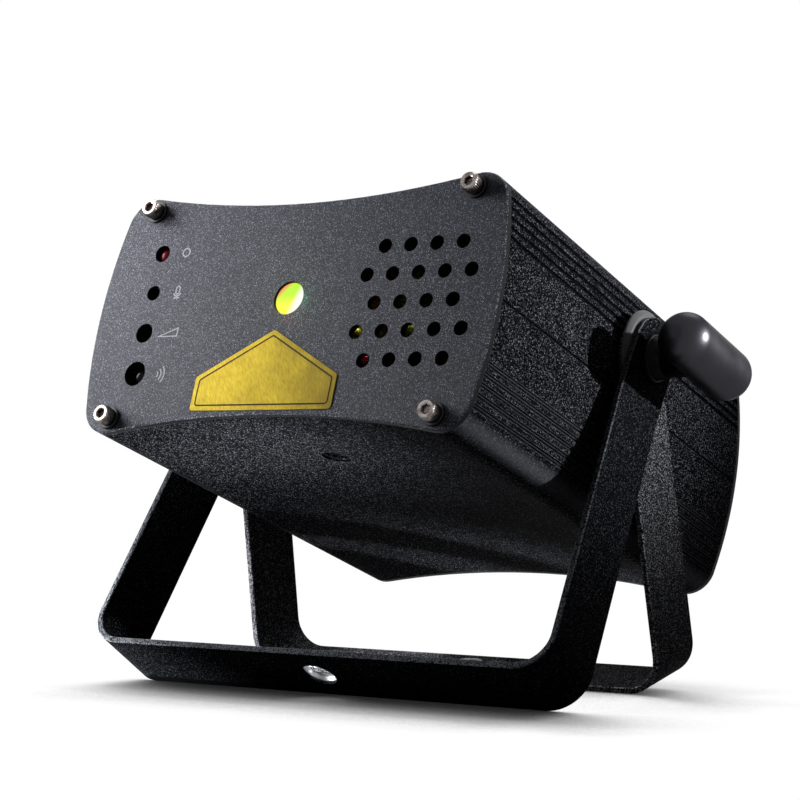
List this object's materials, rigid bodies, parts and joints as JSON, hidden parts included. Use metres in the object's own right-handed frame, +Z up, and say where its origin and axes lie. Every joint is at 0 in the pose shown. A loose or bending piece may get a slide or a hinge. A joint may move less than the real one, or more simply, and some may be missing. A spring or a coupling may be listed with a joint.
{
  "type": "laser show projector",
  "caption": "Compact laser show projector: powder-coated extruded housing with vented front plate, beam window and controls, on nested U brackets clamped by side T-knobs.",
  "frame": {"origin": "on the floor, under the middle of the part's box", "axes": "+X to the right seen from the front, along the pivot axis; +Y to the rear; +Z up"},
  "size_m": [0.1982, 0.1772, 0.1448],
  "materials": {
    "shell_coat": "black sparkle powder coat",
    "plate_coat": "dark grey fine powder coat",
    "bracket_coat": "black sparkle powder coat",
    "bright_steel": "bright steel",
    "dark_steel": "blackened steel",
    "knob_plastic": "satin black moulding",
    "black_plastic": "matte black moulding",
    "gloss_plastic": "gloss black moulding",
    "led_red": "tinted clear red",
    "pot_blue": "blue moulding",
    "pot_white": "white moulding",
    "circuit_board": "green solder mask",
    "board_part_coat": "dark sleeves",
    "aluminium": "mill finish",
    "brass": "turned brass",
    "motor_steel": "zinc plated",
    "window_glass": "clear",
    "film_clear": "clear embossed film",
    "mirror_coat": "coated glass"
  },
  "bodies": {
    "housing": {"upper_shell": "shell_coat", "lower_shell": "shell_coat", "front_plate": "plate_coat", "rear_plate": "plate_coat", "front_screws": "bright_steel", "front_spring_washers": "bright_steel", "front_flat_washers": "dark_steel", "rear_screws": "bright_steel", "rear_spring_washers": "bright_steel", "rear_flat_washers": "dark_steel", "status_led": "led_red", "mic_capsule": "aluminium", "volume_pot": "pot_blue", "infrared_receiver": "black_plastic", "control_board": "circuit_board", "control_standoffs": "brass", "aperture_window": "window_glass", "window_retainer": "black_plastic", "chassis_plate": "aluminium", "green_laser_module": "brass", "green_laser_clamp": "aluminium", "red_laser_module": "brass", "red_laser_clamp": "aluminium", "combiner_mirror": "mirror_coat", "combiner_holder": "aluminium", "grating_motor": "motor_steel", "motor_bracket": "aluminium", "main_board": "circuit_board", "board_standoffs": "brass", "board_parts": "board_part_coat", "fan_frame": "black_plastic", "fan_screws": "dark_steel", "rocker_housing": "black_plastic", "dc_jack": "black_plastic", "dc_jack_nut": "bright_steel", "mode_switch": "black_plastic", "pivot_inserts": "brass", "pivot_washers": "black_plastic", "tripod_socket": "dark_steel"},
    "front_bracket": {"front_bracket": "bracket_coat"},
    "rear_bracket": {"rear_bracket": "bracket_coat", "ear_washers": "black_plastic"},
    "right_clamp": {"right_clamp_washer": "bright_steel"},
    "right_knob": {"right_knob": "knob_plastic", "right_stud": "bright_steel"},
    "left_clamp": {"left_clamp_washer": "bright_steel"},
    "left_knob": {"left_knob": "knob_plastic", "left_stud": "bright_steel"},
    "grating_wheel": {"grating_wheel": "pot_white", "grating_film": "film_clear", "motor_shaft": "bright_steel"},
    "fan_rotor": {"fan_rotor": "black_plastic"},
    "volume_spindle": {"volume_spindle": "black_plastic"},
    "power_rocker": {"power_rocker": "gloss_plastic"},
    "mode_button": {"mode_button": "gloss_plastic"}
  },
  "joints": [
    {"name": "front_bracket_swing", "type": "hinge", "parent": "housing", "child": "front_bracket", "pos_m": [0, 0.00384, 0.09788], "axis": [-1, 0, 0], "range_deg": [-123, 147]},
    {"name": "rear_bracket_swing", "type": "hinge", "parent": "housing", "child": "rear_bracket", "pos_m": [0, 0.00384, 0.09788], "axis": [1, 0, 0], "range_deg": [-101, 169]},
    {"name": "right_clamp_slide", "type": "slide", "parent": "housing", "child": "right_clamp", "axis": [1, 0, 0], "range_m": [0, 0.0005]},
    {"name": "right_knob_turn", "type": "hinge", "parent": "right_clamp", "child": "right_knob", "pos_m": [0, 0.00384, 0.09788], "axis": [1, 0, 0], "range_deg": [0, 180]},
    {"name": "left_clamp_slide", "type": "slide", "parent": "housing", "child": "left_clamp", "axis": [-1, 0, 0], "range_m": [0, 0.0005]},
    {"name": "left_knob_turn", "type": "hinge", "parent": "left_clamp", "child": "left_knob", "pos_m": [0, 0.00384, 0.09788], "axis": [-1, 0, 0], "range_deg": [0, 180]},
    {"name": "wheel_spin", "type": "hinge", "parent": "housing", "child": "grating_wheel", "pos_m": [-0.0125, -0.05845, 0.1077], "axis": [0, 0.9516, -0.3074], "continuous": true},
    {"name": "fan_spin", "type": "hinge", "parent": "housing", "child": "fan_rotor", "pos_m": [0.034, 0.06214, 0.06591], "axis": [0, 0.9516, -0.3074], "continuous": true},
    {"name": "volume_turn", "type": "hinge", "parent": "housing", "child": "volume_spindle", "pos_m": [-0.0501, -0.07302, 0.10295], "axis": [0, 0.9516, -0.3074], "range_deg": [-150, 150]},
    {"name": "rocker_tilt", "type": "hinge", "parent": "housing", "child": "power_rocker", "pos_m": [-0.042, 0.07442, 0.0714], "axis": [1, 0, 0], "range_deg": [0, 18]},
    {"name": "mode_press", "type": "slide", "parent": "housing", "child": "mode_button", "axis": [0, -0.9516, 0.3074], "range_m": [0, 0.0015], "stiffness_N_per_m": 600}
  ],
  "couplings": [
    {"joint": "right_clamp_slide", "follows": "right_knob_turn", "m_per_rad": 0.00015915},
    {"joint": "left_clamp_slide", "follows": "left_knob_turn", "m_per_rad": 0.00015915}
  ]
}
